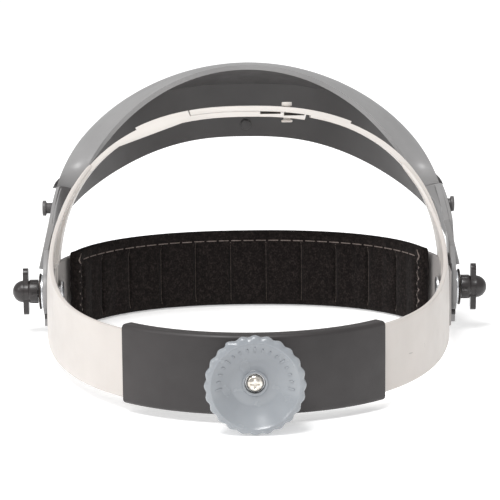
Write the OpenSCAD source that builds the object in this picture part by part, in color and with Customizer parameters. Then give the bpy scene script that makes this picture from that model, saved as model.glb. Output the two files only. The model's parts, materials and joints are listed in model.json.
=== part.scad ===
// Adjustable headgear with a raised crown visor: a ratchet headband, a strap over the head,
// and a visor shell that swings on two side pivots. Millimetres, +Z up, +Y towards the face.

/* [Headband] */
// Half the width over the outside of the headband
band_half_w = 84; // [83:0.5:85]
// Reach of the ring behind its widest line
rear_len = 134; // [133:0.5:135]
// Reach of the ring in front of its widest line
front_len = 70; // [66:1:74]
// Squareness of the ring outline, 2 is a plain ellipse
ring_n = 2.24; // [2.2:0.01:2.28]
// Radius of the rear arc that slides in the cover, over the outside
arc_r = 70.5; // [70:0.1:71]
// Thickness of the moulded band
band_t = 2; // [1.6:0.1:2.2]
// Height of the front half of the band
front_h = 24; // [20:1:28]
// Height of the rear straps
strap_h = 27.4; // [24:0.2:27.6]

/* [Sweatband] */
// Height of the sweatband
pad_h = 34.5; // [30:0.5:36]
// Lowest edge of the sweatband below the band centre
pad_low = 19; // [16:0.5:19]
// Thickness of the sweatband
pad_t = 4.2; // [3:0.2:5]
// Outline angle where the sweatband ends, from the widest line
pad_end = 14; // [13.5:0.5:30]

/* [Crown strap] */
// Half the width over the strap at its foot
arch_half_w = 85.4; // [85.3:0.1:85.5]
// Height of the strap's outside over the band centre, along the strap's own plane
arch_h = 78.6; // [76:0.2:82]
// Squareness of the arch
arch_n = 2.43; // [2.35:0.01:2.5]
// How far the strap leans forwards, in degrees
arch_lean = 8; // [6:0.5:10]
// Width of the strap
arch_w = 20; // [16:1:22]
// Thickness of one strap layer
arch_t = 2.2; // [1.8:0.1:2.4]

/* [Visor shell] */
// Half the width over the crease of the shell
crease_w = 87.3; // [87:0.1:88]
// Half the width over the lower rim of the shell
rim_w = 92; // [91.5:0.1:92.5]
// Distance from the pivots to the front of the crease
crease_y = 118; // [112:1:124]
// Height of the crease beside the pivots
crease_z0 = 22; // [20:1:24]
// Height of the crease at the front
crease_z1 = 75; // [70:1:80]
// Height of the lower rim beside the pivots
rim_z0 = 4; // [2:1:6]
// Height of the lower rim at the front
rim_z1 = 48; // [44:1:52]
// Half the width of the shell's rear edge
rear_edge_w = 84; // [82:0.5:86]
// Height of the rear edge
rear_edge_h = 91; // [88:0.5:94]
// How far the middle of the roof swells
roof_swell = 4; // [1:0.5:6]
// Thickness of the shell
shell_t = 2.2; // [1.8:0.1:2.6]

/* [Side pivots] */
// Radius of the pivot bolt
bolt_r = 2.5; // [2:0.1:3]
// Length of the wing on each side knob
wing_len = 20.6; // [16:0.2:24]
// Radius of the domed nose of each side knob
nose_r = 4.8; // [4:0.1:5.2]

/* [Ratchet] */
// Half the angle that the rear cover spans
cover_half = 44; // [43:0.5:46]
// Height of the rear cover
cover_h = 31.4; // [31:0.2:34]
// Radius of the knob over its lobes
knob_r = 19.2; // [17:0.1:19.2]
// Thickness of the knob's lobed flange
flange_t = 4.4; // [4:0.1:6]
// Number of lobes round the knob
lobes = 24; // [18:1:30]
// Depth of the dish in the knob's face
dish = 5; // [3:0.25:5.5]

/* [Hidden] */

// Everything below is laid out with the pivot axis along X through the origin, then lifted and
// shifted so that the origin is under the middle of the resting object.
rear_face_y = -166;
front_tip_y = crease_y + 4.4;
lift = knob_r;
shift_y = -(rear_face_y + front_tip_y)/2;

widest_y = -13;
arc_y = widest_y - rear_len + arc_r;
join_t = -3.2;
blend_t = -50.6;
blend_a = 52.5;
mouth_a = cover_half - 2.5;

// Stations along X at the pivots, from the strap outwards
plate_x0 = arch_half_w + 0.1;
plate_x1 = plate_x0 + 1.6;
arm_x0 = plate_x1 + 0.2;
arm_x1 = arm_x0 + 2.2;
washer_x1 = arm_x1 + 1.1;
cup_x1 = washer_x1 + 1.4;
hub_x1 = cup_x1 + 4.2;
wing_x1 = hub_x1 + 2.3;
nose_x1 = 103.2;
arm_r = 10.5;
stop_r = 12.8;
stop_a = [225.7, 338.3];

// Ratchet pieces, radii from the rear arc's centre
rack_r0 = arc_r - 1.6;
rack_r1 = arc_r - 0.1;
back_r0 = arc_r - 3.9;
back_r1 = arc_r - 2.1;
cover_r0 = arc_r + 0.7;
cover_r1 = arc_r + 2.7;
pitch_r = 4.5;
teeth = 8;
tooth_pitch = 2*PI*pitch_r/teeth;
rack_mid_r = (rack_r0 + rack_r1)/2;
rack_step = tooth_pitch/rack_mid_r*180/PI;

module place() translate([0, shift_y, lift]) children();
module side(s) place() mirror([s < 0 ? 1 : 0, 0, 0]) children();
// Cylinder along X from x0 to x1
module rod_x(x0, x1, r) translate([x0, 0, 0]) rotate([0, 90, 0]) cylinder(h = x1 - x0, r = r, $fn = 64);
// Cylinder along -Y from y0 back to y1
module rod_y(y0, y1, r) translate([0, y0, 0]) rotate([90, 0, 0]) cylinder(h = y0 - y1, r = r, $fn = 64);

// ---- outline of the ring ----
function ring_b(t) = t < 0 ? rear_len : front_len;
function ring_p(t) = [band_half_w*pow(cos(t), 2/ring_n), sign(t)*ring_b(t)*pow(abs(sin(t)), 2/ring_n)];
function ring_g(p, b) = [pow(p.x/band_half_w, ring_n - 1)/band_half_w, sign(p.y)*pow(abs(p.y)/b, ring_n - 1)/b];
// Point at outline angle t, moved d outwards
function ring_off(t, d) =
    let(p = ring_p(t), g = ring_g(p, ring_b(t)), m = norm(g))
    [p.x + d*g.x/m, widest_y + p.y + d*g.y/m];
function flip_x(pts) = [for (i = [len(pts) - 1:-1:0]) [-pts[i].x, pts[i].y]];
function reversed(pts) = [for (i = [len(pts) - 1:-1:0]) pts[i]];
function side_run(t0, t1, step, d) = [for (t = [t0:step:t1]) ring_off(t, d)];
function front_run(t0, step, d) =
    let(r = side_run(t0, 90 - step/2, step, d))
    concat(r, [[0, widest_y + front_len + d]], flip_x(r));
function arc_run(a0, a1, step, r) = [for (a = [a0:step:a1]) [r*sin(a), arc_y - r*cos(a)]];

// Band round the front, from outline angle t0 on both sides, between two offsets
module front_strip(t0, d0, d1) polygon(concat(front_run(t0, 4, d1), reversed(front_run(t0, 4, d0))));
// Right rear strap in plan, from the side round to the mouth of the cover
module rear_strip(d0, d1) {
    outer = concat(arc_run(mouth_a, blend_a - 0.5, 2, arc_r + d1), side_run(blend_t, join_t, 3.16, d1));
    inner = concat(arc_run(mouth_a, blend_a - 0.5, 2, arc_r + d0), side_run(blend_t, join_t, 3.16, d0));
    polygon(concat(outer, reversed(inner)));
}

module headband_front() color("#dcdad6") place() {
    difference() {
        translate([0, 0, -front_h/2]) linear_extrude(front_h) front_strip(join_t, -band_t, 0);
        rod_x(-100, 100, bolt_r + 0.05);
    }
}

// Side view of the rear strap: its top sweeps up at the temple, in front of it runs the edge of the
// strap over the head
web_top = [for (q = [0:0.1:0.91]) [-112 + 96*q, strap_h/2 + 17*pow(q, 3)]];
function strap_edge(z) = [-10.13 + z*tan(arch_lean), z];
module rear_strap(s) color("#f0eeea") side(s) intersection() {
    union() {
        translate([0, 0, -strap_h/2]) linear_extrude(strap_h + 40) rear_strip(-band_t, 0);
        rotate([90, 0, 0]) linear_extrude(30) polygon(concat(
            [[arch_half_w - 0.05, -front_h/2]], arch_run(0, 38, 0.05), arch_run(38, 0, 1),
            [[arch_half_w - 1, -front_h/2]]));
    }
    rotate([90, 0, 90]) linear_extrude(100) polygon(concat([[-170, -strap_h/2], [-170, strap_h/2]], web_top,
        [strap_edge(40), strap_edge(-strap_h/2)]));
}

module sweatband() color("#1f1c1b") place()
    translate([0, 0, -pad_low]) linear_extrude(pad_h) front_strip(pad_end, -band_t - 0.3 - pad_t, -band_t - 0.3);

// ---- strap over the head ----
// Point on the arch, seen along Y: angle 0 is the right foot, 90 the top, 180 the left foot
function arch_p(a, drop) = [
    sign(cos(a))*(arch_half_w - drop)*pow(abs(cos(a)), 2/arch_n),
    (arch_h - drop)*pow(sin(a), 2/arch_n)];
function arch_run(a0, a1, drop) =
    let(n = ceil(abs(a1 - a0)/3))
    [for (i = [0:n]) arch_p(a0 + (a1 - a0)*i/n, drop)];
foot_out = [[arch_half_w, -front_h/2]];
foot_in = [[arch_half_w - arch_t, -front_h/2]];
// The straps thicken outwards at a shoulder, then lie one over the other between the lap angles
step_out = -1;
lap_drop = step_out + arch_t + 0.1;
shoulder_r = 63.5;
shoulder_l = 60.2;
lap_a = 103;
tongue_a = 103.2;
module leaned() rotate([-arch_lean, 0, 0]) children();
// Piece of strap across the lean, less the room that the headband takes
module strap_blank() difference() {
    leaned() translate([0, arch_w/2, 0]) rotate([90, 0, 0]) linear_extrude(arch_w) children();
    translate([0, 0, -front_h/2 - 2]) linear_extrude(front_h + 4) polygon(front_run(join_t - 4, 4, 0.02));
    rod_x(0, 100, bolt_r + 0.05);
}
peg_x = 16.9;
slot_len = 9.2;
// Height of the arch's outline at a distance from the middle
function arch_z(x, drop) = (arch_h - drop)*pow(1 - pow(abs(x)/arch_half_w, arch_n), 1/arch_n);
module crown_strap_left() color("#f7f4f0") place() difference() {
    mirror([1, 0, 0]) strap_blank() polygon(concat(foot_out,
        arch_run(0, shoulder_l, 0), arch_run(shoulder_l, 76.6, step_out),
        arch_run(76.8, tongue_a, lap_drop), arch_run(tongue_a, 74, lap_drop + arch_t),
        arch_run(52, 0, arch_t), foot_in));
    leaned() for (i = [0:3]) translate([peg_x - 7.5*i, 0, arch_h - 12]) cylinder(h = 20, r = 1.5, $fn = 32);
    leaned() for (x = [5.2, 15.4]) translate([x, -11, arch_z(x + 4.4, lap_drop) - 1]) cube([8.8, 8.5, 3]);
}
module crown_strap_right() color("#f2efea") place() difference() {
    strap_blank() polygon(concat(foot_out,
        arch_run(0, shoulder_r, 0), arch_run(shoulder_r, lap_a, step_out),
        arch_run(lap_a, 75.5, step_out + arch_t), arch_run(75.3, 0, arch_t), foot_in));
    leaned() for (x = [-8.4, 9, 19.4]) translate([x - slot_len/2, -1.6, arch_h - 14]) cube([slot_len, 3.2, 20]);
}
module strap_peg() color("#f7f4f0") place() leaned() translate([peg_x, 0, arch_z(peg_x, step_out)]) {
    translate([0, 0, -2*arch_t - 1.2]) cylinder(h = 2*arch_t + 1.9, r = 1.45, $fn = 32);
    translate([0, 0, 0.45]) cylinder(h = 1.7, r = 2.2, $fn = 32);
    translate([0, 0, -2*arch_t - 2.2]) cylinder(h = 1.1, r = 2.4, $fn = 32);
}

// ---- side pivots ----
module friction_plate(s) color("#231e1e") side(s) {
    difference() {
        translate([plate_x0, -11, -12.6]) cube([plate_x1 - plate_x0, 25, 25.2]);
        rod_x(plate_x0 - 1, plate_x1 + 1, bolt_r + 0.05);
    }
    for (a = stop_a) rotate([a, 0, 0]) translate([0, stop_r, 0]) rod_x(plate_x1 - 0.4, arm_x1 - 0.6, 1.2);
}
module pivot_bolt(s) color("#b9bcc0") side(s) {
    rod_x(79.2, hub_x1 + 1, bolt_r);
    rod_x(78.4, 80, 5);
}
module flat_washer(s) color("#d9dbde") side(s) difference() {
    rod_x(arm_x1 + 0.1, washer_x1, 7.2);
    rod_x(arm_x1 - 1, washer_x1 + 1, bolt_r + 0.05);
}
module spring_washer(s) color("#2a2626") side(s) translate([washer_x1 + 0.05, 0, 0]) rotate([0, 90, 0])
    rotate_extrude($fn = 64)
    polygon([[bolt_r + 0.05, 0.35], [7.8, 0], [7.8, 0.7], [bolt_r + 0.05, cup_x1 - washer_x1 - 0.1]]);
module wing_knob(s) color("#443f3f") side(s) difference() {
    union() {
        translate([cup_x1 + 0.05, 0, 0]) rotate([0, 90, 0]) rotate_extrude($fn = 64)
            polygon([[0, 0], [5.2, 0], [5.2, 3.4], [4.4, 4.2], [4.4, 6.4],
                for (a = [0:10:90]) [nose_r*cos(a), 6.4 + (nose_x1 - cup_x1 - 6.45)*sin(a)]]);
        translate([hub_x1, -2.6, -wing_len/2 + 2.6]) cube([wing_x1 - hub_x1, 5.2, wing_len - 5.2]);
        for (z = [-1, 1]) translate([0, 0, z*(wing_len/2 - 2.6)]) rod_x(hub_x1, wing_x1, 2.6);
    }
    rod_x(cup_x1 - 1, hub_x1 + 1.2, bolt_r + 0.05);
    for (a = [0:60:300]) rotate([a, 0, 0]) translate([0, 5.6, 0]) rod_x(cup_x1 - 1, cup_x1 + 2.6, 0.9);
}

// ---- visor shell ----
crease_n = 2.6;
rim_n = 2.5;
corner_a = 23;
crease_end = 14.4;
wall_end = 4.2;
function curl(w, len, n, t) = [w*pow(cos(t), 2/n), len*pow(sin(t), 2/n)];
// Rear edge, crease and lower rim as points in space
function rear_edge(t, d) =
    [(rear_edge_w + d)*cos(t), 45 + 9*((rear_edge_h + d)*sin(t) - 36)/55, (rear_edge_h + d)*sin(t)];
function crease(t, d) =
    let(q = curl(crease_w + d, crease_y - widest_y + d, crease_n, t))
    [q.x, widest_y + q.y, crease_z0 + (crease_z1 - crease_z0)*q.y/(crease_y - widest_y) + 0.6*d];
function rim(t, d) =
    let(q = curl(rim_w + d, crease_y + 1 - widest_y + d, rim_n, t))
    [q.x, widest_y + q.y, rim_z0 + (rim_z1 - rim_z0)*q.y/(crease_y - widest_y)];
function mixed(a, b, v) = a*(1 - v) + b*v;
// Roof point: u runs 0 at the side to 1 at the front middle, v runs rear edge to crease
function roof_pt(u, v, d) =
    let(p = mixed(rear_edge(corner_a + (90 - corner_a)*u, d), crease(crease_end + (90 - crease_end)*u, d), v),
        o = [p.x, 0, p.z*1.2], lean = o/norm(o))
    p + lean*roof_swell*4*v*(1 - v)*(0.35 + 0.65*u);

// The shell is one sheet of cells. Column k counts from each wall end to the front middle, and the
// first few columns at each end have the wall only.
roof_rows = 7;
wall_rows = 2;
end_cols = 5;
roof_cols = 28;
all_rows = roof_rows + wall_rows;
half_cols = end_cols + roof_cols;
all_cols = 2*half_cols;
function from_side(i) = min(i, all_cols - i);
function has_cell(i, j) = i >= 0 && i < all_cols && j >= 0 && j < all_rows
    && (j >= roof_rows || min(from_side(i), from_side(i + 1)) >= end_cols);
function wall_t(k) = k < end_cols ? wall_end + (crease_end - wall_end)*k/end_cols
    : crease_end + (90 - crease_end)*(k - end_cols)/roof_cols;
function shell_pt(k, j, d) = j <= roof_rows
    ? (k < end_cols ? crease(wall_t(k), d) : roof_pt((k - end_cols)/roof_cols, j/roof_rows, d))
    : mixed(crease(wall_t(k), d), rim(wall_t(k), d), (j - roof_rows)/wall_rows);
function shell_grid(d) = [for (i = [0:all_cols]) for (j = [0:all_rows])
    let(p = shell_pt(from_side(i), j, d)) i <= half_cols ? p : [-p.x, p.y, p.z]];

module crown_shell() color("#6d6f71") place() {
    row = all_rows + 1;
    n = (all_cols + 1)*row;
    quads = [for (i = [0:all_cols]) for (j = [0:all_rows]) let(a = i*row + j, b = a + row) each [
        if (has_cell(i, j)) [a, a + 1, b + 1, b],
        if (has_cell(i, j)) [n + a, n + b, n + b + 1, n + a + 1],
        if (has_cell(i, j) && !has_cell(i, j - 1)) [a, b, n + b, n + a],
        if (!has_cell(i, j) && has_cell(i, j - 1)) [a, n + a, n + b, b],
        if (has_cell(i, j) && !has_cell(i - 1, j)) [a, n + a, n + a + 1, a + 1],
        if (!has_cell(i, j) && has_cell(i - 1, j)) [a, a + 1, n + a + 1, n + a]]];
    tris = [for (q = quads) each [[q[0], q[2], q[1]], [q[0], q[3], q[2]]]];
    polyhedron(concat(shell_grid(0), shell_grid(-shell_t)), tris);
}

// Flat arm inside the shell's wall, with the pivot hole and the stop lug
module crown_arm(s) color("#85878a") side(s) difference() {
    union() {
        rod_x(arm_x0, arm_x1, arm_r);
        translate([arm_x0, 0, 0]) rotate([90, 0, 90]) linear_extrude(arm_x1 - arm_x0)
            polygon([[-8, 5], [-4, 11], [4, 17.5], [12, 20.5], [20, 21.5], [24, 19], [14, 10], [9.5, 3]]);
        translate([arm_x0, -2.2, -15.2]) cube([arm_x1 - arm_x0, 4.4, 8]);
    }
    rod_x(arm_x0 - 1, arm_x1 + 1, bolt_r + 0.05);
}

stud_r = 2.4;
stud_y = 22;
stud_z = 32.6;
module window_stud(s) color("#5d5f61") side(s) translate([0, stud_y, stud_z]) {
    rod_x(85.6, 89.2, stud_r);
    rod_x(89.2, 90.8, stud_r + 1);
}
centre_z = 54;
module window_stud_centre() color("#5d5f61") place() translate([0, 0, centre_z]) {
    rod_y(front_tip_y, front_tip_y - 1.6, stud_r + 1);
    rod_y(front_tip_y - 1.6, crease_y - shell_t - 0.6, stud_r);
}

// ---- ratchet at the back ----
// Part of a ring about the rear arc's centre, centred on the back
module arc_wall(r0, r1, z0, z1, half) translate([0, arc_y, 0]) rotate([0, 0, 270 - half])
    rotate_extrude(angle = 2*half, $fn = 180) translate([r0, z0]) square([r1 - r0, z1 - z0]);
lip = 1.6;
module ratchet_cover() color("#4a4747") place() difference() {
    union() {
        arc_wall(cover_r0, cover_r1, -cover_h/2, cover_h/2, cover_half);
        for (z = [-cover_h/2, cover_h/2 - lip]) arc_wall(back_r0, cover_r0 + 0.01, z, z + lip, cover_half);
    }
    rod_y(arc_y, arc_y - cover_r1 - 1, 3.6);
}
module ratchet_back() color("#3c3a3a") place() difference() {
    arc_wall(back_r0, back_r1, -cover_h/2 + lip, cover_h/2 - lip, cover_half);
    rod_y(arc_y, arc_y - cover_r1 - 1, 2.05);
}
ring_y0 = arc_y - cover_r1 + 0.3;
module ratchet_ring() color("#4a4747") place() difference() {
    rod_y(ring_y0 + 1.2, ring_y0 - 3.5, 13);
    rod_y(ring_y0 + 3, ring_y0 - 1.7, 3.6);
    translate([0, arc_y, -20]) cylinder(h = 40, r = cover_r1 + 0.03, $fn = 180);
    rod_y(ring_y0 - 1.6, ring_y0 - 4, 11);
    for (a = [0:15:345]) rotate([0, a, 0]) translate([10, ring_y0 - 4, -0.7]) cube([1.9, 2.4, 1.4]);
}
rack_z0 = pitch_r + 0.9;
rack_z1 = strap_h/2 - 0.2;
rack_a0 = -41;
rack_a1 = 22;
tan_p = tan(28);
shank_y = rear_face_y + 14;
module rack_tooth() translate([0, -rack_r1, 0]) rotate([-90, 0, 0]) linear_extrude(rack_r1 - rack_r0)
    polygon([[-0.73 - 0.9*tan_p, -rack_z0 - 0.1], [0.73 + 0.9*tan_p, -rack_z0 - 0.1],
        [0.73 - 0.7*tan_p, -pitch_r + 0.7], [-0.73 + 0.7*tan_p, -pitch_r + 0.7]]);
module rack() {
    translate([0, arc_y, 0]) rotate([0, 0, 270 + rack_a0]) rotate_extrude(angle = rack_a1 - rack_a0, $fn = 180)
        translate([rack_r0, rack_z0]) square([rack_r1 - rack_r0, rack_z1 - rack_z0]);
    for (i = [-6:6]) translate([0, arc_y, 0]) rotate([0, 0, (i + 0.5)*rack_step]) rack_tooth();
}
module rack_left() color("#efece8") place() rack();
module rack_right() color("#efece8") place() rotate([0, 180, 0]) rack();

module gear_tooth() polygon([[-0.84, 3.3], [-0.8, 3.95], [-0.7, 4.5], [-0.3, 5.15], [0.3, 5.15], [0.7, 4.5],
    [0.8, 3.95], [0.84, 3.3]]);
module pinion_gear() color("#cfd2d6") place() {
    translate([0, arc_y - rack_r1 - 0.3, 0]) rotate([-90, 0, 0]) linear_extrude(rack_r1 - rack_r0 + 0.6) {
        circle(r = 3.45, $fn = 48);
        for (a = [0:45:315]) rotate(a) gear_tooth();
    }
    rod_y(arc_y - back_r0 - 0.2, arc_y - rack_r0, 2);
    difference() {
        rod_y(arc_y - rack_r1, rear_face_y + 7.4, 3.3);
        rod_y(shank_y, rear_face_y + 7, 1.55);
    }
}
// Pawl disc that clicks round inside the ratchet ring
module pawl_disc() color("#dadcdf") place() difference() {
    union() {
        rod_y(ring_y0 - 1.9, ring_y0 - 3.3, 9.4);
        for (a = [7.5, 187.5]) rotate([0, a, 0]) translate([9, ring_y0 - 3.3, -0.5]) cube([1.7, 1.4, 1]);
    }
    rod_y(ring_y0, ring_y0 - 5, 3.34);
    for (a = [0, 180]) rotate([0, a, 0]) translate([4.6, ring_y0 - 5, 1.2]) cube([3.4, 4, 3.6]);
}

knob_y0 = arc_y - cover_r1 - 0.6;
face_y = rear_face_y + dish;
function lobe_r(a) = knob_r - 0.5 + 0.5*cos(lobes*a);
module lobe_disc(h, cut) linear_extrude(h) polygon([for (a = [0:1.5:358.5]) (lobe_r(a) - cut)*[cos(a), sin(a)]]);
module ratchet_knob() color("#a6adb3") place() difference() {
    translate([0, rear_face_y, 0]) rotate([-90, 0, 0]) union() {
        translate([0, 0, 1.2]) lobe_disc(flange_t - 1.2, 0);
        lobe_disc(1.3, 0.9);
        cylinder(h = knob_y0 - rear_face_y, r = 15.6, $fn = 96);
    }
    translate([0, rear_face_y, 0]) rotate([-90, 0, 0]) rotate_extrude($fn = 96)
        polygon([[0, -1], [knob_r - 2, -1], [knob_r - 2, 0], [8.8, dish], [0, dish]]);
    rod_y(face_y + 1.8, face_y - 1, 3.9);
    rod_y(knob_y0 + 1, face_y - 1, 3.34);
    rod_y(knob_y0 + 1, ring_y0 - 6.3, 14);
}
module knob_washer() color("#c9ccd0") place() difference() {
    rod_y(face_y + 1.75, face_y + 1.1, 3.7);
    rod_y(face_y + 3, face_y - 1, 1.6);
}
module knob_screw() color("#d6d8db") place() difference() {
    union() {
        translate([0, face_y + 1.1, 0]) rotate([90, 0, 0]) rotate_extrude($fn = 64)
            polygon([[0, 0], [3.4, 0], [3.4, 0.7], [2.7, 1.6], [1.4, 2.1], [0, 2.2]]);
        rod_y(shank_y - 0.2, face_y + 1, 1.5);
    }
    for (a = [0, 90]) rotate([0, a, 0]) translate([-1.9, face_y - 1.6, -0.45]) cube([3.8, 1.6, 0.9]);
}

headband_front();
rear_strap(-1);  // rear_strap_left
rear_strap(1);  // rear_strap_right
sweatband();
crown_strap_left();
crown_strap_right();
strap_peg();
friction_plate(-1);  // friction_plate_left
friction_plate(1);  // friction_plate_right
pivot_bolt(-1);  // pivot_bolt_left
pivot_bolt(1);  // pivot_bolt_right
flat_washer(-1);  // flat_washer_left
flat_washer(1);  // flat_washer_right
spring_washer(-1);  // spring_washer_left
spring_washer(1);  // spring_washer_right
wing_knob(-1);  // wing_knob_left
wing_knob(1);  // wing_knob_right
crown_shell();
crown_arm(-1);  // crown_arm_left
crown_arm(1);  // crown_arm_right
window_stud(-1);  // window_stud_left
window_stud(1);  // window_stud_right
window_stud_centre();
ratchet_cover();
ratchet_back();
ratchet_ring();
rack_left();
rack_right();
ratchet_knob();
pinion_gear();
pawl_disc();
knob_washer();
knob_screw();
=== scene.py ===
# %% [markdown]
# # Visor headgear
# The object is the headgear that carries a face visor: a ratchet headband, a strap over the head,
# a fleece sweatband, and a grey brow shell that swings on two side pivots.
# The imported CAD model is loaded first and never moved. Each piece made below either stands for a
# CAD node or rides on the same body, so every joint still works.

# %% Load the frame
import bmesh
import bpy
import json
import math
from mathutils import Matrix, Vector, noise


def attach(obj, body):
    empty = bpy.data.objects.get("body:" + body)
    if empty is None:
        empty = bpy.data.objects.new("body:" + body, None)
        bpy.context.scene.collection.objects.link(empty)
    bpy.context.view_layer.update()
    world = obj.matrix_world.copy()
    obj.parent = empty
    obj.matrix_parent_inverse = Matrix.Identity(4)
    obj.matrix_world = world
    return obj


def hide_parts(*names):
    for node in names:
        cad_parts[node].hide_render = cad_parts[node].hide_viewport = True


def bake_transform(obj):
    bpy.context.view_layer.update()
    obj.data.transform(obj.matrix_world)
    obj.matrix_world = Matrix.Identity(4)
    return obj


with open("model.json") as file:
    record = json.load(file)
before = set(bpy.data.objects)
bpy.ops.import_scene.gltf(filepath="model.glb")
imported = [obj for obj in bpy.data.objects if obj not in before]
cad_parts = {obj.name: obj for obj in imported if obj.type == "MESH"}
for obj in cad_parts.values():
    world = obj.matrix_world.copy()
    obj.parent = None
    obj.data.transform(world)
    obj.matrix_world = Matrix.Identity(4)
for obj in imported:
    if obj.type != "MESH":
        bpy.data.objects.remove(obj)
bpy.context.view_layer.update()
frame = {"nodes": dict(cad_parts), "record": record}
MM = 0.001
joints = {j["name"]: j for j in frame["record"]["behaviour"]["joints"]}
pivot = Vector(joints["crown_tilt"]["pos_m"])
pivot.x = 0.0
arc_centre_y = joints["rack_left_feed"]["pos_m"][1] - pivot.y
print("pivot axis at", tuple(pivot), "rear arc centre", arc_centre_y)


def at(x, y, z):
    """Point in metres from millimetres measured from the pivot axis."""
    return Vector((x * MM, y * MM + pivot.y, z * MM + pivot.z))


# %% [markdown]
# ## Finishes
# Moulded plastic is never one flat colour. Each plastic here mixes two close tones with a broad
# cloud, adds a fine pebble grain in the bump, and lets the roughness wander a little.
# Everything reads Object coordinates, so the pattern stays put when a joint moves.

# %% Colour and node helpers


def srgb(code):
    """Linear colour from a screen colour code."""
    parts = [int(code[i:i + 2], 16) / 255 for i in (1, 3, 5)]
    bright = [c / 12.92 if c <= 0.04045 else ((c + 0.055) / 1.055) ** 2.4 for c in parts]
    return tuple(bright) + (1.0,)


def grey(v):
    return (v, v, v, 1.0)


def link(tree, a, b):
    tree.links.new(a, b)


def shader_of(name):
    mat = bpy.data.materials.new(name)
    mat.use_nodes = True
    tree = mat.node_tree
    return mat, tree, tree.nodes["Principled BSDF"]


def noise_node(tree, coords, scale, detail=3.0, stretch=None):
    node = tree.nodes.new("ShaderNodeTexNoise")
    node.inputs["Scale"].default_value = scale
    node.inputs["Detail"].default_value = detail
    if stretch:
        mapping = tree.nodes.new("ShaderNodeMapping")
        mapping.inputs["Scale"].default_value = stretch
        link(tree, coords, mapping.inputs["Vector"])
        coords = mapping.outputs["Vector"]
    link(tree, coords, node.inputs["Vector"])
    return node


def ramp_node(tree, factor, stops):
    node = tree.nodes.new("ShaderNodeValToRGB")
    while len(node.color_ramp.elements) < len(stops):
        node.color_ramp.elements.new(0.5)
    for element, (place, colour) in zip(node.color_ramp.elements, stops):
        element.position = place
        element.color = colour
    link(tree, factor, node.inputs["Fac"])
    return node


# %% [markdown]
# One recipe serves every plastic on the headgear. Only the two tones, the gloss, the grain and a
# little softness under the surface change from one moulding to the next.

# %% Moulded plastic


def moulded_plastic(name, light, dark, rough=(0.38, 0.52), grain=1400.0, bump=0.12, depth=0.00004,
                    soft=0.0, coat=0.0):
    """Plastic of two close tones, with a range of roughness and a pebble grain."""
    mat, tree, shader = shader_of(name)
    coords = tree.nodes.new("ShaderNodeTexCoord").outputs["Object"]
    cloud = noise_node(tree, coords, 38.0, 4.0)
    colour = ramp_node(tree, cloud.outputs["Fac"], [(0.3, srgb(dark)), (0.7, srgb(light))])
    link(tree, colour.outputs["Color"], shader.inputs["Base Color"])
    scuff = noise_node(tree, coords, 160.0, 5.0)
    stops = [(0.3, grey(rough[0])), (0.75, grey(rough[1]))]
    rough_ramp = ramp_node(tree, scuff.outputs["Fac"], stops)
    link(tree, rough_ramp.outputs["Color"], shader.inputs["Roughness"])
    pebble = noise_node(tree, coords, grain, 2.0)
    relief = tree.nodes.new("ShaderNodeBump")
    relief.inputs["Strength"].default_value = bump
    relief.inputs["Distance"].default_value = depth
    link(tree, pebble.outputs["Fac"], relief.inputs["Height"])
    link(tree, relief.outputs["Normal"], shader.inputs["Normal"])
    shader.inputs["Subsurface Weight"].default_value = soft
    shader.inputs["Subsurface Radius"].default_value = (0.004, 0.003, 0.0025)
    shader.inputs["Coat Weight"].default_value = coat
    shader.inputs["Coat Roughness"].default_value = 0.12
    return mat


# %% [markdown]
# The brow shell is one grey plastic in two copies: a lighter one with a touch of coat on its outer
# skin, which paints in the light it catches, and a darker one on its inner face, which paints in
# shade. The knob is the glossiest piece, with a thin clear coat.

# %% The headgear's plastics
band_white = moulded_plastic("band_white", "#c9c3be", "#c0bab5", rough=(0.4, 0.52), soft=0.1)
strap_white = moulded_plastic("strap_white", "#d5d0cb", "#ccc7c2", rough=(0.36, 0.48), soft=0.1)
# The white band plastic darkened to grey: painted shade on the front of the ring.
band_shade_grey = moulded_plastic("band_shade_grey", "#a5a19f", "#9b9795", rough=(0.36, 0.48))
# The shell's grey made lighter: painted light on its outer skin and arms.
shell_lit_grey = moulded_plastic("shell_lit_grey", "#8f8e8e", "#868585", rough=(0.36, 0.46), grain=1100.0,
                             bump=0.14, depth=0.00005, coat=0.06)
# The same shell grey made darker: painted shade on its inner face and studs.
shell_shade_grey = moulded_plastic("shell_shade_grey", "#5b5959", "#514f4f", rough=(0.36, 0.48), grain=1100.0,
                             bump=0.2, depth=0.00006)
cover_grey = moulded_plastic("cover_grey", "#332f2f", "#2a2727", rough=(0.42, 0.56), grain=900.0,
                             bump=0.3, depth=0.00008)
knob_grey = moulded_plastic("knob_grey", "#92969a", "#868a8f", rough=(0.2, 0.3), grain=900.0,
                            bump=0.06, soft=0.08, coat=0.35)
soot_black = moulded_plastic("soot_black", "#2a2525", "#1d1919", rough=(0.28, 0.42), grain=1300.0,
                             bump=0.2, depth=0.00006, coat=0.1)

# %% [markdown]
# The metal parts are turned or stamped: bright zinc on the bolts and flat washers, black oxide on
# the dished washers, and nickel on the knob's screw. Fine scratches are a noise stretched hard in
# one direction.

# %% Metals


def metal(name, light, dark, rough, scratch=(900.0, 60.0, 900.0)):
    """Metal of two close tones, scratched along one direction."""
    mat, tree, shader = shader_of(name)
    coords = tree.nodes.new("ShaderNodeTexCoord").outputs["Object"]
    streaks = noise_node(tree, coords, 1.0, 3.0, scratch)
    colour = ramp_node(tree, streaks.outputs["Fac"], [(0.3, srgb(dark)), (0.7, srgb(light))])
    link(tree, colour.outputs["Color"], shader.inputs["Base Color"])
    stops = [(0.2, grey(rough[0])), (0.8, grey(rough[1]))]
    rough_ramp = ramp_node(tree, streaks.outputs["Fac"], stops)
    link(tree, rough_ramp.outputs["Color"], shader.inputs["Roughness"])
    shader.inputs["Metallic"].default_value = 1.0
    return mat


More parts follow.
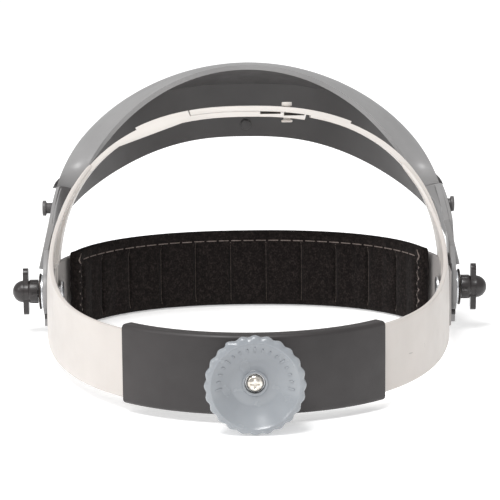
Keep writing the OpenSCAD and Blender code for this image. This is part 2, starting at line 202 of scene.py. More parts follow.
zinc = metal("zinc", "#f2f3f5", "#cfd1d4", (0.22, 0.38))
black_oxide = metal("black_oxide", "#4a4644", "#2e2b2a", (0.35, 0.5))
nickel = metal("nickel", "#efe9e0", "#c9c2b8", (0.16, 0.3))

# %% [markdown]
# The sweatband is a brushed black fleece over foam. Its nap is a fine speckle, so the tone and the
# bump both come from two fine noises mixed together, and a low sheen lifts the edges. The sewing
# thread is a lighter tone of the same recipe, and so is the painted highlight down each pleat.

# %% Fleece


def fleece(name, light, dark, middle):
    """Napped cloth of three tones, with no gloss."""
    mat, tree, shader = shader_of(name)
    coords = tree.nodes.new("ShaderNodeTexCoord").outputs["Object"]
    fibres = noise_node(tree, coords, 1.0, 3.0, (1500.0, 1500.0, 1200.0))
    patches = noise_node(tree, coords, 520.0, 4.0)
    mix = tree.nodes.new("ShaderNodeMath")
    mix.operation = "MULTIPLY_ADD"
    mix.inputs[1].default_value = 0.6
    link(tree, fibres.outputs["Fac"], mix.inputs[0])
    half = tree.nodes.new("ShaderNodeMath")
    half.operation = "MULTIPLY"
    half.inputs[1].default_value = 0.4
    link(tree, patches.outputs["Fac"], half.inputs[0])
    link(tree, half.outputs[0], mix.inputs[2])
    stops = [(0.32, srgb(dark)), (0.5, srgb(middle)), (0.68, srgb(light))]
    colour = ramp_node(tree, mix.outputs[0], stops)
    link(tree, colour.outputs["Color"], shader.inputs["Base Color"])
    relief = tree.nodes.new("ShaderNodeBump")
    relief.inputs["Strength"].default_value = 0.75
    relief.inputs["Distance"].default_value = 0.0003
    link(tree, mix.outputs[0], relief.inputs["Height"])
    link(tree, relief.outputs["Normal"], shader.inputs["Normal"])
    shader.inputs["Roughness"].default_value = 0.95
    shader.inputs["Specular IOR Level"].default_value = 0.12
    shader.inputs["Sheen Weight"].default_value = 0.03
    shader.inputs["Sheen Roughness"].default_value = 0.5
    return mat


black_fleece = fleece("black_fleece", "#2e2826", "#0a0808", "#191514")
thread_grey = fleece("thread_grey", "#8d837e", "#5f5652", "#786e69")
# Lighter fleece tone for the painted highlight down each pleat's fold.
pleat_highlight_grey = fleece("pleat_highlight_grey", "#5d5551", "#38322f", "#4a433f")

# %% [markdown]
# ## Helpers for making pieces
# Most surfaces start as a flat bmesh grid that a small function lays onto the headgear, because a
# strip, a shell and a pad are all "so far along, so far across". Faces are turned to point
# outwards before any thickness is given.

# %% Grid helpers


def lay_grid(bm, columns, rows, place):
    """Adds a grid whose corner (i, j) is put at place(i / columns, j / rows)."""
    corners = bmesh.ops.create_grid(bm, x_segments=columns, y_segments=rows, size=0.5)["verts"]
    for v in corners:
        v.co = place(min(max(v.co.x + 0.5, 0.0), 1.0), min(max(v.co.y + 0.5, 0.0), 1.0))


def laid_grid(columns, rows, place):
    bm = bmesh.new()
    lay_grid(bm, columns, rows, place)
    return bm


def face_out(bm, middle):
    """Turns the faces so that they point away from a middle point."""
    lean = sum(f.normal.dot(f.calc_center_median() - middle) * f.calc_area() for f in bm.faces)
    if lean < 0:
        bmesh.ops.reverse_faces(bm, faces=bm.faces[:])


def smooth_by_angle(bm, degrees=32.0):
    """Shades smooth across every edge that turns by less than an angle."""
    for f in bm.faces:
        f.smooth = True
    for e in bm.edges:
        e.smooth = not (len(e.link_faces) == 2 and e.calc_face_angle(0.0) > math.radians(degrees))


def make_piece(bm, name, material, body, slot, *nodes):
    """Turns a bmesh into a piece that rides on a body and stands for some CAD nodes."""
    smooth_by_angle(bm)
    mesh = bpy.data.meshes.new(name)
    bm.to_mesh(mesh)
    bm.free()
    piece = bpy.data.objects.new(name, mesh)
    bpy.context.scene.collection.objects.link(piece)
    mesh.materials.append(material)
    if body:
        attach(piece, body)
    if nodes:
        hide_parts(*nodes)
    print(name, len(mesh.polygons), "faces")
    return piece


def thicken(piece, thickness):
    """Gives a sheet its wall, inwards from its outer face."""
    wall = piece.modifiers.new("wall", "SOLIDIFY")
    wall.thickness = thickness * MM
    wall.offset = -1.0
    wall.use_even_offset = True
    return wall


def soften_edges(piece, width, segments=3, degrees=40.0):
    """Rounds the edges that turn by more than an angle."""
    edge = piece.modifiers.new("edge", "BEVEL")
    edge.width = width * MM
    edge.segments = segments
    edge.limit_method = "ANGLE"
    edge.angle_limit = math.radians(degrees)
    edge.harden_normals = True


# %% [markdown]
# ## The ring's outline
# The ring is a squarish oval, longer behind its widest line than in front of it. The rear runs
# on a true arc, because that is what lets the straps slide round inside the rear cover.

# %% Outline of the ring
HALF_WIDTH, REAR, FRONT, SQUARE, WIDEST_Y = 84.0, 134.0, 70.0, 2.24, -13.0
ARC_R = 70.5
ARC_Y = arc_centre_y / MM


def ring(t, off=0.0):
    """Outline point at angle t (0 widest, 90 front, -90 rear), moved outwards by off mm."""
    reach = REAR if t < 0 else FRONT
    c, s = math.cos(math.radians(t)), math.sin(math.radians(t))
    sign = -1.0 if s < 0 else 1.0
    x = HALF_WIDTH * max(c, 0.0) ** (2 / SQUARE)
    y = sign * reach * abs(s) ** (2 / SQUARE)
    gx = (x / HALF_WIDTH) ** (SQUARE - 1) / HALF_WIDTH
    gy = sign * (abs(y) / reach) ** (SQUARE - 1) / reach
    m = math.hypot(gx, gy)
    return x + off * gx / m, WIDEST_Y + y + off * gy / m


# %% [markdown]
# ## Front band
# The stiff front half of the headband is one moulded strip, 2 mm thick and 24 mm tall, from
# temple to temple. A laid grid gives its outer face, Solidify its thickness, and a small bevel
# the soft moulded edge that catches the light.

# %% Front band
FRONT_START, FRONT_H = -3.2, 24.0


def front_band_at(u, v):
    """Runs from the right temple (u = 0) round the front to the left temple (u = 1)."""
    turn = 2 * u - 1
    x, y = ring(90 - (90 - FRONT_START) * abs(turn))
    return at(x if turn < 0 else -x, y, (v - 0.5) * FRONT_H)


bm = laid_grid(120, 2, front_band_at)
face_out(bm, at(0, 0, 0))
# The front band is the white band plastic; its grey is painted shade.
front_band = make_piece(bm, "front_band", band_shade_grey, "headband", "band_plastic", "headband_front")
thicken(front_band, 2.0)
soften_edges(front_band, 0.45)

# %% [markdown]
# ## Rear straps
# Each strap slides out of the rear cover, bends round the side of the head, and sweeps up at the
# temple into the foot of the strap over the head, all in one moulding. Its upper edge is a smooth
# curve with four control points. The strap is flexible, and the ring closes up when the knob is
# turned, but here each strap is only baked in place and rides on no body.

# %% Edge curve of a rear strap
STRAP_H = 27.4
MOUTH, ARC_END, SIDE_END = 38.0, 52.5, -50.6
ARC_SHARE, BEND_SHARE = 0.14, 0.3
BEND_Y, TIP_Y, FOOT_Y = -112.0, -4.6, -11.9
SWEEP = [Vector(p) for p in ((BEND_Y, STRAP_H / 2), (-70.0, 14.0), (-30.0, 18.0), (TIP_Y, 56.0))]
ARCH_W, ARCH_H, ARCH_N = 85.4, 78.6, 2.43
TEMPLE_Y, TEMPLE_RUN, TEMPLE_INSET = -68.0, 52.0, 0.45


def sweep(k):
    """Point (y, z) on the temple's upper edge."""
    w = ((1 - k) ** 3, 3 * k * (1 - k) ** 2, 3 * k * k * (1 - k), k ** 3)
    return sum((p * q for p, q in zip(SWEEP, w)), Vector((0, 0)))


def ring_x(y):
    """Half the width of the ring at a distance y from the pivots."""
    reach = REAR if y < WIDEST_Y else FRONT
    return HALF_WIDTH * max(1 - (abs(y - WIDEST_Y) / reach) ** SQUARE, 0.0) ** (1 / SQUARE)


def arch_x(z):
    """Half the width of the strap over the head at a height z."""
    return ARCH_W * (1 - (max(z, 0.0) / ARCH_H) ** ARCH_N) ** (1 / ARCH_N)


def temple_point(y, z):
    """Point on the strap, which turns from upright to the curve of the strap over the head."""
    w = min(max((y - TEMPLE_Y) / TEMPLE_RUN, 0.0), 1.0)
    w = w * w * (3 - 2 * w)
    return Vector((ring_x(y) + w * (arch_x(z) - HALF_WIDTH - TEMPLE_INSET), y, z))


# %% [markdown]
# Along its length the strap has three stretches: the arc inside the cover, the bend round the
# back of the head, and the sweep up at the temple. The grid's rows stay level in the first two
# and fan out in the third.

# %% Rear strap surface
ROWS = (0.0, 0.14, 0.3, 0.5, 0.52, 0.7, 0.86, 1.0)
FOOT_RISE = 1.7  # how far the lower edge climbs towards the temple
bend_t = -math.degrees(math.asin(((WIDEST_Y - BEND_Y) / REAR) ** (SQUARE / 2)))


def level_stretch(u):
    """Point (x, y) on the arc or the bend."""
    if u < ARC_SHARE:
        a = math.radians(MOUTH + (ARC_END - MOUTH) * u / ARC_SHARE)
        return ARC_R * math.sin(a), ARC_Y - ARC_R * math.cos(a)
    k = (u - ARC_SHARE) / (BEND_SHARE - ARC_SHARE)
    return ring(SIDE_END + (bend_t - SIDE_END) * k)


def rear_strap_at(side):
    def place(u, v):
        row = ROWS[round(v * (len(ROWS) - 1))]
        if u < BEND_SHARE:
            x, y = level_stretch(u)
            return at(side * x, y, (row - 0.5) * STRAP_H)
        k = (u - BEND_SHARE) / (1 - BEND_SHARE)
        top = sweep(k)
        foot_y = BEND_Y + (top.x - BEND_Y) * (FOOT_Y - BEND_Y) / (TIP_Y - BEND_Y)
        low = -STRAP_H / 2 + FOOT_RISE * max(k - 0.6, 0.0) / 0.4
        y = foot_y + (top.x - foot_y) * row
        p = temple_point(y, low + (top.y - low) * row)
        return at(side * p.x, p.y, p.z)
    return place


def bends_with_ring(piece):
    """Bakes a piece's placement into its mesh; the piece rides on no body."""
    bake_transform(piece)


for side, word in ((1, "right"), (-1, "left")):
    bm = laid_grid(120, len(ROWS) - 1, rear_strap_at(side))
    face_out(bm, at(0, -40, 0))
    strap = make_piece(bm, "rear_band_" + word, band_white, None, "band_plastic",
                       "rear_strap_" + word)
    thicken(strap, 1.9)
    soften_edges(strap, 0.6)
    bends_with_ring(strap)

# %% [markdown]
# Each strap carries two short thin grey strips, and the left one also a longer one: painted shade
# where faint slot lines run. Each is a narrow grid laid just off the strap, with a thin wall, and
# it is baked in place like the strap.

# %% Painted slot shade on the rear straps
MARK_W, MARK_LIFT = 0.3, 0.03
SHORT_SLOT_SHADES = ((-112, -109.5, -1.6, -1.8), (-99, -98.6, -0.6, -2.2))  # y and z, from and to
LONG_SLOT_SHADE = (-118.5, -93, 3.0, 5.0)


def slot_shade_at(side, y0, y1, z0, z1):
    def place(u, v):
        y = y0 + (y1 - y0) * u
        return at(side * (ring_x(y) + MARK_LIFT), y, z0 + (z1 - z0) * u + (v - 0.5) * MARK_W)
    return place


for side, word in ((1, "right"), (-1, "left")):
    bm = bmesh.new()
    for mark in SHORT_SLOT_SHADES if side > 0 else SHORT_SLOT_SHADES + (LONG_SLOT_SHADE,):
        lay_grid(bm, 14, 1, slot_shade_at(side, *mark))
    bmesh.ops.recalc_face_normals(bm, faces=bm.faces[:])
    face_out(bm, at(0, -40, 0))
    # Thin strips in the band's shade grey: painted shade of the slot lines.
    marks = make_piece(bm, "band_slot_shade_" + word, band_shade_grey, None, "band_plastic")
    thicken(marks, 0.12)
    bends_with_ring(marks)

# %% [markdown]
# ## Brow shell
# The shell is a moulded roof that falls from a raised rear edge to a crease, and a short wall
# below the crease that carries the window. Three rails describe it: rear edge, crease and lower
# rim. Grids are stretched between the rails, joined at the crease, and given 2.2 mm of wall.

# %% Rails of the shell
CREASE_W, CREASE_Y, CREASE_Z0, CREASE_Z1 = 87.3, 118.0, 22.0, 75.0
RIM_W, RIM_Z0, RIM_Z1, RIM_SAG = 92.0, 4.0, 48.0, 4.5
EDGE_W, EDGE_H, EDGE_Y, EDGE_LEAN = 84.0, 91.0, 45.0, 9 / 55
SWELL, END_SWELL = 4.0, 0.35
CORNER, CREASE_END, WALL_END, END_SHARE = 23.0, 14.4, 4.2, 0.16


def curl(w, reach, n, t):
    """Point of a squarish oval quarter at an angle t."""
    c, s = math.cos(math.radians(t)), math.sin(math.radians(t))
    return w * max(c, 0.0) ** (2 / n), reach * s ** (2 / n)


def rear_edge(t):
    """The raised edge over the head, which leans forwards as it climbs."""
    c, s = math.cos(math.radians(t)), math.sin(math.radians(t))
    return Vector((EDGE_W * c, EDGE_Y + EDGE_LEAN * (EDGE_H * s - 36), EDGE_H * s))


def crease(t):
    x, q = curl(CREASE_W, CREASE_Y - WIDEST_Y, 2.6, t)
    rise = (CREASE_Z1 - CREASE_Z0) * q / (CREASE_Y - WIDEST_Y)
    return Vector((x, WIDEST_Y + q, CREASE_Z0 + rise))


def lower_rim(t):
    x, q = curl(RIM_W, CREASE_Y + 1 - WIDEST_Y, 2.5, t)
    sag = RIM_SAG * math.sin(math.radians(2 * t)) ** 2
    return Vector((x, WIDEST_Y + q, RIM_Z0 + (RIM_Z1 - RIM_Z0) * q / (CREASE_Y - WIDEST_Y) - sag))


def both_sides(u):
    """How far from a side end (0) to the front middle (1), and which side."""
    turn = 2 * u - 1
    return 1 - abs(turn), (1 if turn < 0 else -1)


def roof_at(u, v):
    k, side = both_sides(u)
    p = rear_edge(CORNER + (90 - CORNER) * k).lerp(crease(CREASE_END + (90 - CREASE_END) * k), v)
    lean = Vector((p.x, 0, p.z * 1.2)).normalized()
    p += lean * SWELL * 4 * v * (1 - v) * (END_SWELL + (1 - END_SWELL) * k)
    return at(side * p.x, p.y, p.z)


def wall_at(u, v):
    k, side = both_sides(u)
    if k < END_SHARE:
        t = WALL_END + (CREASE_END - WALL_END) * k / END_SHARE
    else:
        t = CREASE_END + (90 - CREASE_END) * (k - END_SHARE) / (1 - END_SHARE)
    p = crease(t).lerp(lower_rim(t), v)
    return at(side * p.x, p.y, p.z)


# %% [markdown]
# The wall's grid has 12 more columns at each end than the roof's, because the wall runs on past the
# roof's corner. Between them the columns match, so merging doubles welds the crease. The outer
# face takes the lighter copy of the grey (painted light), and the whole inner face the darker copy
# (painted shade).

# %% Shell from its rails
SHELL_MIDDLE = at(0, 30, 20)
bm = laid_grid(126, 12, roof_at)
lay_grid(bm, 150, 4, wall_at)
bmesh.ops.remove_doubles(bm, verts=bm.verts[:], dist=0.00005)
bmesh.ops.recalc_face_normals(bm, faces=bm.faces[:])
face_out(bm, SHELL_MIDDLE)
shell = make_piece(bm, "brow_shell", shell_lit_grey, "crown", "shell_plastic", "crown_shell")
# Second slot: the darker copy of the same grey, painted shade on the inner face.
shell.data.materials.append(shell_shade_grey)
thicken(shell, 2.2).material_offset = 1
soften_edges(shell, 0.7, 3, 28.0)

# %% [markdown]
# At each lower corner the roof narrows into a tail that runs down to the swinging arm, so the
# light can follow it from the brow to the pivot. Its rear rail is a short chain of points, and
# its front rail is the shell's own crease.

# %% Tails of the roof
TAIL = [rear_edge(CORNER)] + [Vector(p) for p in (
    (80.0, 38.6, 34.4), (82.7, 31.0, 32.2), (85.4, 23.0, 28.6),
    (87.3, 15.0, 23.0), (88.4, 8.0, 15.0))]


def tail_rail(k):
    """Smooth run (a Catmull-Rom curve) through the rear rail's points."""
    place = min(k, 0.9999) * (len(TAIL) - 1)
    i = int(place)
    a, b, c, d = (TAIL[min(max(i + n, 0), len(TAIL) - 1)] for n in (-1, 0, 1, 2))
    f = place - i
    return 0.5 * ((2 * b) + (c - a) * f + (2 * a - 5 * b + 4 * c - d) * f * f
                  + (3 * b - a - 3 * c + d) * f ** 3)


def tail_at(side):
    def place(u, v):
        p = tail_rail(u).lerp(crease(CREASE_END + (WALL_END - CREASE_END) * u), v)
        lean = Vector((p.x, 0, p.z * 1.2)).normalized()
        p += lean * SWELL * 4 * v * (1 - v) * END_SWELL * (1 - u)
        return at(side * p.x, p.y, p.z)
    return place


for side, word in ((1, "right"), (-1, "left")):
    bm = laid_grid(30, 10, tail_at(side))
    face_out(bm, SHELL_MIDDLE)
    # Lighter copy of the grey outside (painted light), darker copy inside (painted shade).
    tail = make_piece(bm, "roof_tail_" + word, shell_lit_grey, "crown", "shell_plastic")
    tail.data.materials.append(shell_shade_grey)
    thicken(tail, 1.6).material_offset = 1
    soften_edges(tail, 0.5, 3, 40.0)

# %% [markdown]
# ## Rear cover
# The cover is a curved box, open at both ends where the straps slide in. Its section is drawn
# once as a face with rounded corners and spun 88 degrees about the centre of the rear arc, once
# for the outside and once for the hollow, and the two skins are bridged at each mouth.

# %% Rear cover
COVER_HALF, COVER_H = 44.0, 31.4
COVER_R = (66.6, 73.2)
HOLLOW_R, HOLLOW_H = (68.4, 71.2), 28.2


def section_loop(bm, r0, r1, height, corner):
    """Closed loop of edges: a rounded rectangle in the plane through the middle of the back."""
    corners = [(r0, -height / 2), (r1, -height / 2), (r1, height / 2), (r0, height / 2)]
    verts = [bm.verts.new(at(0, ARC_Y - r, z)) for r, z in corners]
    face = bm.faces.new(verts)
    bmesh.ops.bevel(bm, geom=verts, offset=corner * MM, segments=4, profile=0.5, affect="VERTICES",
                    material=-1)
    face = bm.faces[:][-1] if not face.is_valid else face
    edges = face.edges[:]
    bmesh.ops.delete(bm, geom=[face], context="FACES_ONLY")
    return edges


def spun_skin(r0, r1, height, corner):
    """The section carried round the rear arc, from one mouth to the other."""
    bm = bmesh.new()
    edges = section_loop(bm, r0, r1, height, corner)
    centre = at(0, ARC_Y, 0)
    turn = Matrix.Rotation(math.radians(-COVER_HALF), 4, "Z")
    bmesh.ops.rotate(bm, verts=bm.verts[:], cent=centre, matrix=turn)
    bmesh.ops.spin(bm, geom=edges, cent=centre, axis=(0, 0, 1),
                   angle=math.radians(2 * COVER_HALF), steps=44)
    return bm


bm = spun_skin(*COVER_R, COVER_H, 1.7)
hollow = spun_skin(*HOLLOW_R, HOLLOW_H, 0.5)
hollow_mesh = bpy.data.meshes.new("hollow_part")
hollow.to_mesh(hollow_mesh)
hollow.free()
bm.from_mesh(hollow_mesh)
bpy.data.meshes.remove(hollow_mesh)
for side in (-1, 1):
    rim = [e for e in bm.edges if e.is_boundary and (e.verts[0].co.x * side) > 0]
    bmesh.ops.bridge_loops(bm, edges=rim)
bmesh.ops.recalc_face_normals(bm, faces=bm.faces[:])
cover = make_piece(bm, "rear_cover", cover_grey, "ratchet", "cover_plastic",
                   "ratchet_cover", "ratchet_back")
soften_edges(cover, 0.35, 2, 50.0)

# %% [markdown]
# ## Ratchet knob
# The knob is lathe work with a lobed rim: one circle of edges is drawn on loop by loop, from
# inside the hollow back, round its edge, out to the rim and down the dish to the screw's recess.
# The rim's loops follow the lobes while the dish stays round. A small pointer lobe stands out.

# %% Knob
FACE_Y = -166.0
LOBES, POINTER, POINTER_W = 24, 123.5, 3.4
KNOB_LOOPS = [  # radius, depth behind the rim's face, share of the lobes
    (13.7, 10.6, 0.0), (13.7, 15.3, 0.0), (14.2, 15.7, 0.0), (15.1, 15.7, 0.0), (15.5, 15.3, 0.0),
    (15.5, 5.6, 0.0), (15.7, 4.9, 0.1), (16.4, 4.5, 0.4), (17.6, 4.2, 0.8), (18.3, 3.6, 1.0),
    (18.62, 2.7, 1.0), (18.62, 1.9, 1.0), (18.4, 1.1, 1.0), (17.95, 0.6, 0.85), (17.5, 0.35, 0.5),
    (17.2, 0.12, 0.15), (16.9, 0.0, 0.0), (16.5, 0.05, 0.0), (16.2, 0.3, 0.0), (15.7, 0.65, 0.0),
    (12.6, 2.75, 0.0), (9.6, 4.75, 0.0), (9.0, 4.98, 0.0), (8.2, 5.05, 0.0), (5.3, 5.05, 0.0),
    (4.95, 4.85, 0.0), (4.75, 4.5, 0.0), (4.4, 4.4, 0.0), (4.05, 4.55, 0.0), (3.9, 5.0, 0.0),
    (3.85, 6.9, 0.0)]


def lobed(radius, share, a):
    """Radius at an angle, with the lobes and the pointer on top."""
    bump = 0.5 + 0.5 * math.cos(LOBES * a)
    pointer = math.exp(-(math.degrees(a - math.radians(POINTER)) / POINTER_W) ** 2)
    return radius + share * (0.7 * bump ** 0.8 - 0.12 + 0.6 * pointer)


bm = bmesh.new()
circle = bmesh.ops.create_circle(bm, cap_ends=False, segments=LOBES * 12, radius=1.0)
angles = {v: math.atan2(v.co.y, v.co.x) for v in circle["verts"]}
edges = bm.edges[:]
for number, (radius, depth, share) in enumerate(KNOB_LOOPS):
    if number:
        grown = bmesh.ops.extrude_edge_only(bm, edges=edges)["geom"]
        verts = [g for g in grown if isinstance(g, bmesh.types.BMVert)]
        edges = [g for g in grown if isinstance(g, bmesh.types.BMEdge) and g.is_boundary]
    else:
        verts = circle["verts"]
    for v in verts:
        a = angles[v] if number == 0 else math.atan2(v.co.z - pivot.z, v.co.x)
        r = lobed(radius, share, a)
        v.co = at(r * math.cos(a), FACE_Y + depth, r * math.sin(a))
bmesh.ops.holes_fill(bm, edges=[e for e in bm.edges if e.is_boundary], sides=0)
bmesh.ops.recalc_face_normals(bm, faces=bm.faces[:])
make_piece(bm, "dial_knob", knob_grey, "knob", "knob_plastic", "ratchet_knob")

# %% [markdown]
# The upper half of the dish carries a row of plain raised ticks, every fourth one longer. Each
# is a small bar that is tipped to the dish's slope, turned to its place and given soft edges.

# %% Raised ticks in the dish
TICKS, DISH_SLOPE, TICK_R = 17, 33.6, 13.6
bm = bmesh.new()
for k in range(TICKS):
    a = math.radians(-6 + 192 * k / (TICKS - 1))
    tall = 2.8 if k % 4 == 0 else 1.7
    tick = bmesh.ops.create_cube(bm, size=1.0)["verts"]
    bmesh.ops.scale(bm, vec=(0.55 * MM, 0.5 * MM, tall * MM), verts=tick)
    tip = Matrix.Rotation(math.radians(DISH_SLOPE), 3, "X")
    turn = Matrix.Rotation(math.pi / 2 - a, 3, "Y")
    bmesh.ops.rotate(bm, cent=(0, 0, 0), matrix=tip, verts=tick)
    bmesh.ops.translate(bm, vec=(0, 0, TICK_R * MM), verts=tick)
    bmesh.ops.rotate(bm, cent=(0, 0, 0), matrix=turn, verts=tick)
    bmesh.ops.translate(bm, vec=at(0, FACE_Y + 1.95, 0), verts=tick)
bmesh.ops.bevel(bm, geom=bm.edges[:], offset=0.08 * MM, segments=2, profile=0.5, affect="EDGES",
                material=-1)
make_piece(bm, "dial_ticks", knob_grey, "knob", "knob_plastic")

# %% [markdown]
# ## Sweatband
# The sweatband is foam wrapped in fleece and stitched along its top and ends. It is quilted by
# upright pleats, so the pad swells between them. One grid goes all the way round its section and
# all the way along its length. Distances along the pad are measured on its inner face, so first
# the outline's turn is tabled against the run of that face.

# %% The run of the sweatband
PAD_START, PAD_LOW, PAD_HIGH, PAD_OUT, PAD_IN = 17.0, -19.0, 15.5, -2.3, -6.5
PLEAT_STEP = 16.0
STITCH_Z = PAD_HIGH - 4.4


def pad_xy(turn, off):
    """Point of the pad at a turn of the outline (-1 left end, 0 middle, 1 right end)."""
    x, y = ring(90 - (90 - PAD_START) * abs(turn), off)
    return (-x if turn < 0 else x), y


def pad_rail(steps=400):
    """Pairs of distance from the middle and turn, all along the pad's inner face."""
    run, rail, last = 0.0, [], None
    for i in range(steps + 1):
        turn = -1 + 2 * i / steps
        x, y = pad_xy(turn, PAD_IN)
        run += 0.0 if last is None else math.hypot(x - last[0], y - last[1])
        last = (x, y)
        rail.append((run, turn))
    middle = rail[-1][0] / 2
    return [(r - middle, turn) for r, turn in rail]


rail = pad_rail()
PAD_REACH = rail[-1][0]
print("sweatband inner length", round(2 * PAD_REACH, 1), "mm")


def turn_at(s):
    """Outline turn at a distance s along the pad from its middle."""
    for (s0, t0), (s1, t1) in zip(rail, rail[1:]):
        if s <= s1:
            return t0 + (t1 - t0) * (s - s0) / (s1 - s0)
    return rail[-1][1]


def pad_point(s, off, z):
    x, y = pad_xy(turn_at(s), off)
    return at(x, y, z)


# %% [markdown]
# The section is a flat loop: up the inner face, over a rounded top, down the outer face and back
# under a rounded bottom. The inner face has the most points, because the quilting is there.

# %% Section of the sweatband
PAD_MID, PAD_HALF = (PAD_IN + PAD_OUT) / 2, (PAD_OUT - PAD_IN) / 2


def pad_section(r=1.9, face_points=26, round_points=5, back_points=9):
    """Loop of (offset, height) round the pad's section, starting low on the inner face."""
    tall = PAD_HIGH - PAD_LOW - 2 * r
    turns = [math.pi * i / round_points for i in range(1, round_points)]
    loop = [(PAD_IN, PAD_LOW + r + tall * i / (face_points - 1)) for i in range(face_points)]
    loop += [(PAD_MID - PAD_HALF * math.cos(a), PAD_HIGH - r + r * math.sin(a)) for a in turns]
    loop += [(PAD_OUT, PAD_HIGH - r - tall * i / (back_points - 1)) for i in range(back_points)]
    loop += [(PAD_MID + PAD_HALF * math.cos(a), PAD_LOW + r - r * math.sin(a)) for a in turns]
    return loop


section = pad_section()

# %% [markdown]
# The pleats, the stitch line and small wrinkles draw the inner face in, and the foam puffs out
# between the pleats. Both ends are squeezed thin, as the sewing does.

# %% Quilted pad


def pleat_depth(s, z):
    """How far the inner face is drawn in at a place on the pad."""
    away = (s - PLEAT_STEP / 2) % PLEAT_STEP
    away = min(away, PLEAT_STEP - away)
    fade_top = min(max((STITCH_Z - 1.0 - z) / 2.5, 0.0), 1.0)
    fade = fade_top * min(max((z - PAD_LOW - 1.5) / 2.5, 0.0), 1.0)
    pleat = 1.25 * math.exp(-(away / 0.75) ** 2) * fade
    puff = -0.45 * math.sin(math.pi * min(away / (PLEAT_STEP / 2), 1.0)) * fade
    seam = 0.55 * math.exp(-((z - STITCH_Z) / 0.8) ** 2)
    broad = 0.22 * noise.noise(Vector((s * 0.32, z * 0.05, 1.7)))
    small = 0.12 * noise.noise(Vector((s * 0.9, z * 0.16, 5.1)))
    return pleat + puff + seam + (broad + small)


def pad_at(u, v):
    s = PAD_REACH * (2 * u - 1)
    off, z = section[round(v * len(section)) % len(section)]
    end = min((PAD_REACH - abs(s)) / 5.0, 1.0)
    squeeze = 0.5 + 0.5 * math.sqrt(max(end, 0.0) * (2 - max(end, 0.0)))
    inner_share = (PAD_MID - off) / (PAD_MID - PAD_IN) * 0.5 + 0.5
    off = PAD_OUT + (off - PAD_OUT) * squeeze
    off += pleat_depth(s, z) * max(inner_share, 0.0) * squeeze
    return pad_point(s, off, z)


bm = laid_grid(420, len(section), pad_at)
bmesh.ops.remove_doubles(bm, verts=bm.verts[:], dist=0.00002)
bmesh.ops.holes_fill(bm, edges=[e for e in bm.edges if e.is_boundary], sides=0)
bmesh.ops.recalc_face_normals(bm, faces=bm.faces[:])
sweatband = make_piece(bm, "sweat_pad", black_fleece, "headband", "sweat_fabric", "sweatband")

# %% [markdown]
# Two runs of thread hold the fleece: one dashed row under the top edge, and a zigzag down each
# end. Each stitch is a tiny six-sided bar laid on the pad's surface.

# %% Stitches


def stitch_bar(bm, a, b, thick):
    """Small six-sided bar between two points, for a stitch or a painted highlight line."""
    along = b - a
    toward = along.to_track_quat("Z", "Y").to_matrix()
    bar = bmesh.ops.create_cone(bm, cap_ends=True, segments=6, radius1=thick, radius2=thick,
                                depth=along.length + thick)["verts"]
    bmesh.ops.rotate(bm, cent=(0, 0, 0), matrix=toward, verts=bar)
    bmesh.ops.translate(bm, vec=(a + b) / 2, verts=bar)


HALF_STITCH, STITCH_STEP = 2.1, 5.6
bm = bmesh.new()
s = -PAD_REACH + 6
while s < PAD_REACH - 7:
    lift = PAD_IN + pleat_depth(s + 1, STITCH_Z) - 0.12
    ends = [pad_point(s + n * HALF_STITCH, lift, STITCH_Z) for n in range(3)]
    stitch_bar(bm, ends[0], ends[1], 0.24 * MM)
    stitch_bar(bm, ends[1], ends[2], 0.24 * MM)
    s += STITCH_STEP
for side in (-1, 1):
    for k in range(12):
        z0 = PAD_LOW + 3 + k * 2.5
        s0, s1 = (1.4, 3.2) if k % 2 else (3.2, 1.4)
        a = pad_point(side * (PAD_REACH - s0), PAD_IN + 0.5, z0)
        b = pad_point(side * (PAD_REACH - s1), PAD_IN + 0.5, z0 + 2.5)
        stitch_bar(bm, a, b, 0.34 * MM)
make_piece(bm, "pad_stitches", thread_grey, "headband", "sweat_fabric")

# %% [markdown]
# A thin paler line runs down each pleat's fold: a painted highlight where the fold catches the
# light. It follows the fold's own depth.

# %% Painted highlights down the pleats
# Each bar here is a painted highlight laid down a fold, not thread.
bm = bmesh.new()
for k in range(-8, 8):
    fold = PLEAT_STEP * (k + 0.5)
    if abs(fold) < PAD_REACH - 7:
        for step in range(9):
            z0 = PAD_LOW + 2.4 + step * 3.0
            a = pad_point(fold, PAD_IN + pleat_depth(fold, z0) - 0.1, z0)
            b = pad_point(fold, PAD_IN + pleat_depth(fold, z0 + 3.0) - 0.1, z0 + 3.0)
            stitch_bar(bm, a, b, 0.15 * MM)
make_piece(bm, "pad_pleat_highlights", pleat_highlight_grey, "headband", "sweat_fabric")

# %% [markdown]
# ## Small hardware and the strap over the head
# These CAD solids already have the right shape, but a moulded or stamped part never has a knife
# edge. Each one is copied, its loose triangles are merged into whole faces, and every sharp edge
# gets a small bevel.

# %% Softened copies


def softened(node, name, material, body, slot, width, segments=2):
    """Copy of a CAD node with bevelled edges, which stands for that node."""
    bm = bmesh.new()
    bm.from_mesh(frame["nodes"][node].data)
    bmesh.ops.remove_doubles(bm, verts=bm.verts[:], dist=0.000002)
    bmesh.ops.dissolve_limit(bm, angle_limit=math.radians(1.0), verts=bm.verts[:],
                             edges=bm.edges[:])
    sharp = [e for e in bm.edges
             if len(e.link_faces) == 2 and e.calc_face_angle(0.0) > math.radians(35)]
    bmesh.ops.bevel(bm, geom=sharp, offset=width * MM, segments=segments, profile=0.5,
                    affect="EDGES", clamp_overlap=True, material=-1)
    return make_piece(bm, name, material, body, slot, node)


# %% [markdown]
# The side bolt is turned: a chamfered tip, a plain shank, and a low head with a rounded rim on
# the inside of the band. A circle of edges is drawn along the pivot axis from tip to head.

# %% Side bolts
BOLT_LOOPS = ((98.0, 2.2), (97.2, 2.5), (82.0, 2.5), (82.0, 4.6), (81.3, 4.5), (81.0, 4.0),
              (80.9, 2.0))  # distance from the middle, radius


